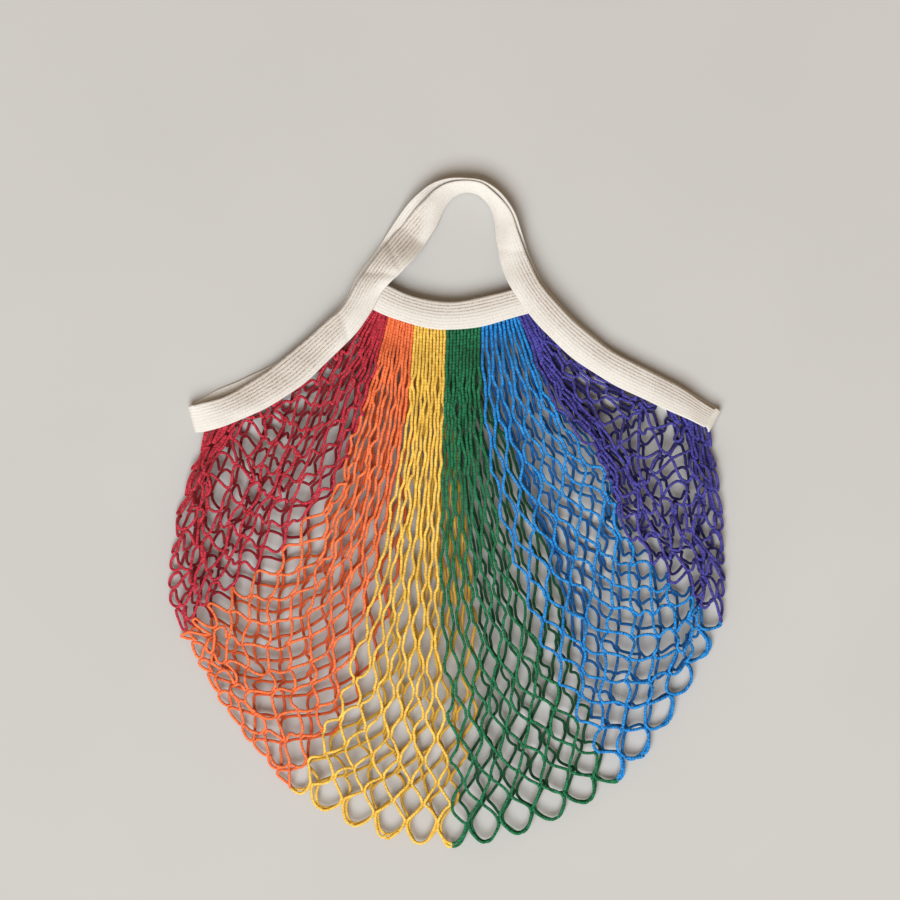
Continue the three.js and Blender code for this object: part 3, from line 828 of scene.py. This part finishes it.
# Powers that round a rib and square the tape's edges, and the grooves' share of their depth near the inner
# edge with the places across over which it grows
RIB_ROUNDING = 0.7
EDGE_SQUARING = 16
INNER_GROOVE = 0.35
GROOVE_GROWS = (-0.3, 0.3)
CROWN = 1.3 * MM
UNEVEN = 0.22 * MM
# Sway of the tape's edges as a share of its width, and the lengths of its two waves over two pi
EDGE_SWAY = 0.018
LONG_SWAY = 13.7 * MM
SHORT_SWAY = 6.1 * MM
CREAM = (219, 212, 202)
# Darker tan that the tape is mixed towards, both for its uneven wear and for its painted shade
WORN_AND_SHADED_CREAM = (128, 103, 82)
STITCHES_A_METRE = 820
# Middle line of both bands, in millimetres, and the share of the handle's crown that the front one has
BAND_LINE = np.array([(-57, 163), (-38, 154), (-18, 148), (-1, 146), (18, 147.5), (39, 152.5), (60, 158.5)])
BAND_CROWN = 0.6
BAND_SECTIONS = 70
FRONT_BAND_BOTTOM = 10.6 * MM
BACK_BAND_BOTTOM = 2.1 * MM


def tape_profile():
    """Section of the tape, once round it: place across from -1 to 1, height from -1 to 1 of half the
    thickness, and u from 0 to 1 on the upper face and 1 to 2 on the lower. Ribs are rounded by a sine and
    deepest near the outer edge."""
    across = np.linspace(-1, 1, RIBS * RIB_POINTS + 1)
    rib = np.abs(np.sin(np.pi * RIBS * (across + 1) / 2)) ** RIB_ROUNDING
    depth = INNER_GROOVE + (1 - INNER_GROOVE) * ease(across, *GROOVE_GROWS)
    groove = RIB_GROOVE / (TAPE_THICK / 2) * depth
    within = 1 - across**EDGE_SQUARING
    height = np.sqrt(within) - (1 - rib) * groove * within
    u = (across + 1) / 2
    return (
        np.concatenate([across, across[-2:0:-1]]),
        np.concatenate([height, -height[-2:0:-1]]),
        np.concatenate([u, 2 - u[-2:0:-1]]),
    )


def tape_mesh(centre, across, face, width, relief, is_loop):
    """The tape's section carried along centres with their across and face directions, as points, quads
    and UV: u round the section, v the length along the tape in metres. The relief lifts the points of
    each section, and the width sways by two slow sines."""
    place, height, u = tape_profile()
    ring = np.concatenate([centre, centre[:1]]) if is_loop else centre
    run = run_along(ring)
    way = run[: len(centre), None]
    sway = np.sin(way / SHORT_SWAY) + 0.7 * np.sin(way / LONG_SWAY + 2.0)
    wide = width[:, None] + EDGE_SWAY * sway
    sideways = across[:, None] * (wide * place)[..., None] * TAPE_WIDTH / 2
    lift = height * TAPE_THICK / 2 + relief
    points = centre[:, None] + sideways + face[:, None] * lift[..., None]
    steps, sides = points.shape[:2]
    number = np.arange(steps * sides).reshape(steps, sides)
    there = np.roll(number, -1, 0) if is_loop else number[1:]
    here = number if is_loop else number[:-1]
    quads = np.stack([here, there, np.roll(there, -1, 1), np.roll(here, -1, 1)], axis=-1)
    u = np.broadcast_to(u, here.shape)
    u_next = np.concatenate([u[:, 1:], np.full((len(u), 1), 2.0)], axis=1)
    v = np.broadcast_to(run[: len(here), None], here.shape)
    v_next = np.broadcast_to(run[1 : len(here) + 1, None], here.shape)
    uv = np.stack([u, v, u, v_next, u_next, v_next, u_next, v], axis=-1).reshape(-1, 8)
    quads = quads.reshape(-1, 4)
    if not is_loop:
        top = np.arange(sides // 2)
        low = (-top) % sides
        cap = np.stack([top, top + 1, (low - 1) % sides, low], axis=-1)[1:-1]
        ends = np.concatenate([number[0][cap], number[-1][cap[:, ::-1]]])
        quads = np.concatenate([quads, ends])
        uv = np.concatenate([uv, np.zeros((len(ends), 8))])
    return points.reshape(-1, 3), quads, uv


def ribbed_cotton():
    """Undyed cotton tape: small stitches on each rib, broken lines of painted shade between the ribs and
    painted shade towards the tape's outer edge, from the tape's UV and from the ribs attribute, which sets
    how strongly the painted shade shows there, with fine fibre and faint patches of uneven wear."""
    cream = linear(*CREAM)
    material, shader, shade = new_material("cream_ribbed_cotton", cream)
    place, u, v = cloth_places(shade)
    waver = shade.noise(place, 140, 2)
    leg = (u * RIBS + waver * 0.5).fraction() * 2 - 1
    line = abs(leg) ** 3
    stitch = 1 - abs((v * STITCHES_A_METRE + abs(leg) * 0.5).fraction() * 2 - 1) ** 2
    fibre = shade.noise(place, 1300, 2)
    dash = shade.noise(place, 1050, 2)
    patch = shade.noise(place, 26, 3)
    # How strongly the painted shade shows, from the ribs attribute: strong where the tape lay in shade,
    # faint where it is brightly lit
    shade_showing = shade.add("ShaderNodeAttribute", {"attribute_name": "ribs"}, {}, output="Fac")
    outer = shade.add("ShaderNodeMapRange", {"interpolation_type": "SMOOTHSTEP"}, {
        "Value": u + shade_showing * 0.9, "From Min": 1.15, "From Max": 1.6, "To Min": 0.2, "To Max": 1.0})
    height = stitch * 0.4 + fibre * 0.4 - line * 0.6
    drawn = line * (dash * 4.2 - 1.6 + (1 - stitch) * 0.5) * outer * shade_showing
    worn = (fibre - 0.5) * 0.8 + (patch - 0.5) * 0.35
    # Painted shade: the broken lines between the ribs and the tan towards the outer edge; worn is random
    # uneven wear
    dark = drawn * 0.6 + (1 - stitch) * 0.1 + worn + outer * shade_showing * 0.18
    base = dark.mixed(cream, linear(*WORN_AND_SHADED_CREAM))
    bump = shade.add("ShaderNodeBump", {}, {"Strength": 0.55, "Distance": 0.3 * MM, "Height": height})
    dress(shader, {"Roughness": 0.9, "Sheen Weight": 0.2, "Specular IOR Level": 0.25}, base, bump)
    return material


def level_left_of(plan):
    """Level direction to the left of each point's heading along a line of points."""
    ahead = unit(np.gradient(plan, axis=0))
    return np.stack([-ahead[:, 1], ahead[:, 0], np.zeros(len(plan))], axis=-1)


cream_tape = ribbed_cotton()
band_place = np.linspace(0, len(BAND_LINE) - 1, BAND_SECTIONS)
band_plan = smooth_line(BAND_LINE * MM + FROM_TABLES, band_place)
across_tape = tape_profile()[0]
band_relief = np.tile(BAND_CROWN * CROWN * (1 - across_tape**2), (BAND_SECTIONS, 1))
for side, bottom in (("front", FRONT_BAND_BOTTOM), ("back", BACK_BAND_BOTTOM)):
    middle_height = np.full((BAND_SECTIONS, 1), bottom + TAPE_THICK / 2)
    centre = np.concatenate([band_plan, middle_height], axis=1)
    face = np.broadcast_to(UP, centre.shape)
    relief = band_relief * (side == "front")
    across = level_left_of(band_plan)
    cloth = tape_mesh(centre, across, face, np.ones(BAND_SECTIONS), relief, is_loop=False)
    band = new_piece(f"{side}_mouth_band", *cloth, cream_tape)
    # The bands get the painted rib shade in full
    mark(band, "ribs", np.ones(relief.size))
    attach(band, "root")
    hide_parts(f"{side}_band")

# Handle tape: one long loop of the same tape. Its front run binds the left slit, passes over the front
# band, stands up on edge as the handle and comes down to the right corner. There it folds over and goes
# back underneath as the back run, a little outside the front one.
ON_NET = 8.5
ON_BAND = 12.7
# Millimetres and degrees: middle line x and y, height of the front run over the back one, bank that tips
# its outer edge up, how far outside it the back run lies, and the back run's own bank; then the front
# run's width as a share of the tape's, and how strongly the painted shade of its ribs and outer edge shows:
# strong where the run lay in shade, faint where it is brightly lit
TAPE_STATIONS = np.array([
    (-187, 69, 7.0, 8, 2, 0, 1.00, 0.3),
    (-166, 75, ON_NET, 3, 7, 0, 1.00, 1.0),
    (-141.5, 87, ON_NET, 0, 5.5, 2, 1.09, 1.3),
    (-118.8, 102, ON_NET, -2, 2.5, 4, 1.15, 1.35),
    (-99.6, 118.6, 9.5, -2, 1.5, 6, 1.12, 1.35),
    (-84, 133, 12.0, 0, 1.5, 5, 1.06, 1.2),
    (-74, 142.5, ON_BAND, 0, 1.5, 5, 1.00, 0.9),
    (-65.5, 154.5, ON_BAND, 0, 1.5, 2, 0.95, 0.8),
    (-57.5, 169, ON_BAND, -4, 2, 2, 0.92, 1.1),
    (-45.5, 183.5, 10.0, -18, 3.4, 3, 1.10, 1.25),
    (-34, 196.5, 6.0, -14, 5.6, 8, 1.16, 1.3),
    (-22, 212, 3.0, 10, 7.2, 16, 1.06, 1.1),
    (-12, 226, 1.0, 35, 7.0, 35, 0.97, 0.7),
    (-5, 235, 0.6, 43, 5.6, 43, 0.87, 0.4),
    (3, 240.7, 0.6, 52, 3.6, 52, 0.78, 0.2),
    (13, 243, 0.9, 60, 2.0, 60, 0.73, 0.1),
    (23, 241.5, 0.9, 59, 2.0, 59, 0.73, 0.1),
    (30, 236.5, 0.5, 56, 2.8, 56, 0.76, 0.1),
    (36, 229.5, 0.5, 51, 3, 51, 0.80, 0.2),
    (41.5, 219, 0.8, 45, 2.7, 45, 0.88, 0.3),
    (44.5, 205, 2.4, 34, 2.4, 34, 1.00, 0.5),
    (49, 188, 7.0, 18, 2.4, 14, 1.00, 0.8),
    (56, 172, ON_BAND, 2, 2.4, 2, 1.00, 1.0),
    (66, 157, ON_BAND, 0, 2.4, 0, 1.00, 1.0),
    (81, 140, ON_BAND, 0, 2, 0, 1.02, 1.0),
    (101, 122, 9.5, 0, 2, 0, 1.02, 1.0),
    (125, 106, ON_NET, 0, 1, 0, 1.02, 1.0),
    (152, 92.5, ON_NET, -4, 1, 0, 1.00, 1.0),
    (175.5, 80.5, ON_NET, -14, 0, 0, 0.90, 1.0),
    (195, 69.5, 7.0, -18, 0, 0, 0.78, 0.9),
])
# Creases of the front run: station, how far the crease slants across the tape, depth and half width
TAPE_CREASES = ((5.6, 5, 1.0, 3.0), (8.6, -7, 1.3, 3.5), (9.5, 5, 0.8, 3.0), (20.6, 3, 0.6, 3.0))
# Lengths over two pi of the waves that leave the tape uneven, the bank in degrees over which the back run
# takes on the front one's width, and how strongly the painted shade of the ribs shows on the back run and
# round the corners
LONG_WAVE = 7.1 * MM
SHORT_WAVE = 4.3 * MM
STANDING_BANK = (10, 35)
BACK_RIB_SHADE = 0.4
CORNER_RIB_SHADE = 0.5
RUN_SECTIONS = 300
CORNER_SECTIONS = 14


def tape_run(is_front):
    """Centres, across and face directions, width, relief and strength of painted rib shade of one run: the
    tape turned up by its bank about its lower edge, the front run lifted, crowned, left uneven by two sines
    and creased, the back run set outwards and facing down. A crease is a trough that falls off as a bell
    curve along the tape."""
    last = len(TAPE_STATIONS) - 1
    place = np.linspace(0, last, RUN_SECTIONS)
    plan = smooth_line(TAPE_STATIONS[:, :2] * MM + FROM_TABLES, place)
    lift, bank, spread, back_bank, width, ribs = smooth_line(TAPE_STATIONS[:, 2:], place).T
    outward = level_left_of(plan)
    tip = np.radians(bank if is_front else np.maximum(back_bank, 0))[:, None]
    width = width if is_front else 1 + (width - 1) * ease(back_bank, *STANDING_BANK)
    cosine, sine = np.cos(tip), np.sin(tip)
    half_width = TAPE_WIDTH / 2 * width[:, None]
    height = half_width * np.abs(sine) + TAPE_THICK / 2 * cosine + is_front * lift[:, None] * MM
    centre = np.concatenate([plan, height], axis=1)
    centre = centre + outward * np.maximum(spread, 0)[:, None] * MM * (1 - is_front)
    facing = 1 if is_front else -1
    run = run_along(plan)[:, None]
    ends = between(place, (0, 2), (last - 2, last))
    relief = CROWN * ends[:, None] * (1 - across_tape**2)
    waves = np.sin(run / SHORT_WAVE + 2 * across_tape) + np.sin(run / LONG_WAVE - across_tape)
    relief = relief + UNEVEN * waves
    for station, slant, depth, half in TAPE_CREASES:
        away = run - np.interp(station, place, run[:, 0]) - slant * MM * across_tape
        relief = relief - depth * MM * bell(away, half)
    across = outward * cosine + UP * sine
    face = (UP * cosine - outward * sine) * facing
    if is_front:
        return centre, across, face, width, relief, ribs
    return centre, across, face, width, 0 * relief, np.full(RUN_SECTIONS, BACK_RIB_SHADE)


def corner_fold(front, back, end):
    """Half a turn from the front run's end round to the back run's: a half circle about their middle, in
    the plane of the heading and the upright, while the direction across and the width go evenly from one
    to the other."""
    centres, across_front, _, widths = front[:4]
    back_centres, across_back = back[:2]
    next_to_end = 1 if end == 0 else -2
    heading = unit(centres[end] - centres[next_to_end]) * (1, 1, 0)
    turn = np.linspace(0, np.pi, CORNER_SECTIONS + 2)[1:-1, None]
    across = unit(across_front[end] + turn / np.pi * (across_back[end] - across_front[end]))
    face = UP * np.cos(turn) + unit(heading) * np.sin(turn)
    face = unit(square_to(face, across))
    middle = (centres[end] + back_centres[end]) / 2
    radius = (centres[end] - back_centres[end])[2] / 2
    width = widths[end] + turn[:, 0] / np.pi * (1 - widths[end])
    flat = np.zeros((CORNER_SECTIONS, len(across_tape)))
    return middle + radius * face, across, face, width, flat, np.full(CORNER_SECTIONS, CORNER_RIB_SHADE)


front_run, back_run = tape_run(True), tape_run(False)
right_fold = corner_fold(front_run, back_run, -1)
left_fold = corner_fold(front_run, back_run, 0)
*loop, loop_rib_shade = (
    np.concatenate([front, right, back[::-1], left[::-1]])
    for front, right, back, left in zip(front_run, right_fold, back_run, left_fold)
)
handle = new_piece("handle_tape_loop", *tape_mesh(*loop, is_loop=True), cream_tape)
# Strength of the painted rib shade along the loop
mark(handle, "ribs", np.repeat(loop_rib_shade, len(across_tape)))
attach(handle, "root")
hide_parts("handle_tape")

# Ground, light and camera: a sheet of pale matt paper, seen from straight above. Soft daylight comes from
# one large window beyond the bag's bottom and a little to its left, and a weak warm sky fills the shadows.
FLOOR_SIZE = 6.0
FLOOR_DROP = 0.2 * MM
PHOTO_WIDTH = 0.675
PHOTO_CENTRE = (0.0018, 0.0451)
CAMERA_HEIGHT = 3.0
SENSOR = 36.0
KEY_FROM = (-2.0, -5.83, 8.53)
KEY_SIZE = 7.5
KEY_POWER = 1700.0
KEY_COLOUR = (0.875, 0.95, 1.02)
SKY_STRENGTH = 0.36
SKY_COLOUR = (1.0, 0.78, 0.55, 1.0)
PAPER = (186, 182, 177)
CLOUDINESS = 0.04


def pale_paper():
    """Matt pale paper with a faint cloudiness."""
    paper = linear(*PAPER)
    material, shader, shade = new_material("pale_paper", paper)
    place = shade.add("ShaderNodeTexCoord", {}, {}, output="Object")
    cloud = shade.noise(place, 5, 3)
    base = cloud.mixed(tinted(paper, 1 - CLOUDINESS), tinted(paper, 1 + CLOUDINESS))
    dress(shader, {"Roughness": 0.95, "Specular IOR Level": 0.1}, base)
    return material


corner = FLOOR_SIZE / 2
floor_points = np.array([(-corner, -corner), (corner, -corner), (corner, corner), (-corner, corner)])
floor_points = np.concatenate([floor_points, np.full((4, 1), -FLOOR_DROP)], axis=1)
floor = new_piece("paper_floor", floor_points, np.arange(4)[None], np.zeros((1, 8)), pale_paper())

scene = bpy.context.scene
scene.view_settings.view_transform = "Standard"
world = bpy.data.worlds.new("soft_daylight")
world.use_nodes = True
sky = world.node_tree.nodes["Background"]
sky.inputs["Color"].default_value = SKY_COLOUR
sky.inputs["Strength"].default_value = SKY_STRENGTH
scene.world = world

key_light = bpy.data.lights.new("window", type="AREA")
key_light.size = KEY_SIZE
key_light.energy = KEY_POWER
key_light.color = KEY_COLOUR
key = bpy.data.objects.new("window", key_light)
key.location = KEY_FROM
key.rotation_euler = (-key.location).to_track_quat("-Z", "Y").to_euler()
bpy.context.collection.objects.link(key)

lens = bpy.data.cameras.new("camera")
lens.sensor_width = SENSOR
lens.lens = SENSOR * CAMERA_HEIGHT / PHOTO_WIDTH
lens.dof.use_dof = False
camera = bpy.data.objects.new("camera", lens)
camera.location = (*PHOTO_CENTRE, CAMERA_HEIGHT)
bpy.context.collection.objects.link(camera)
scene.camera = camera
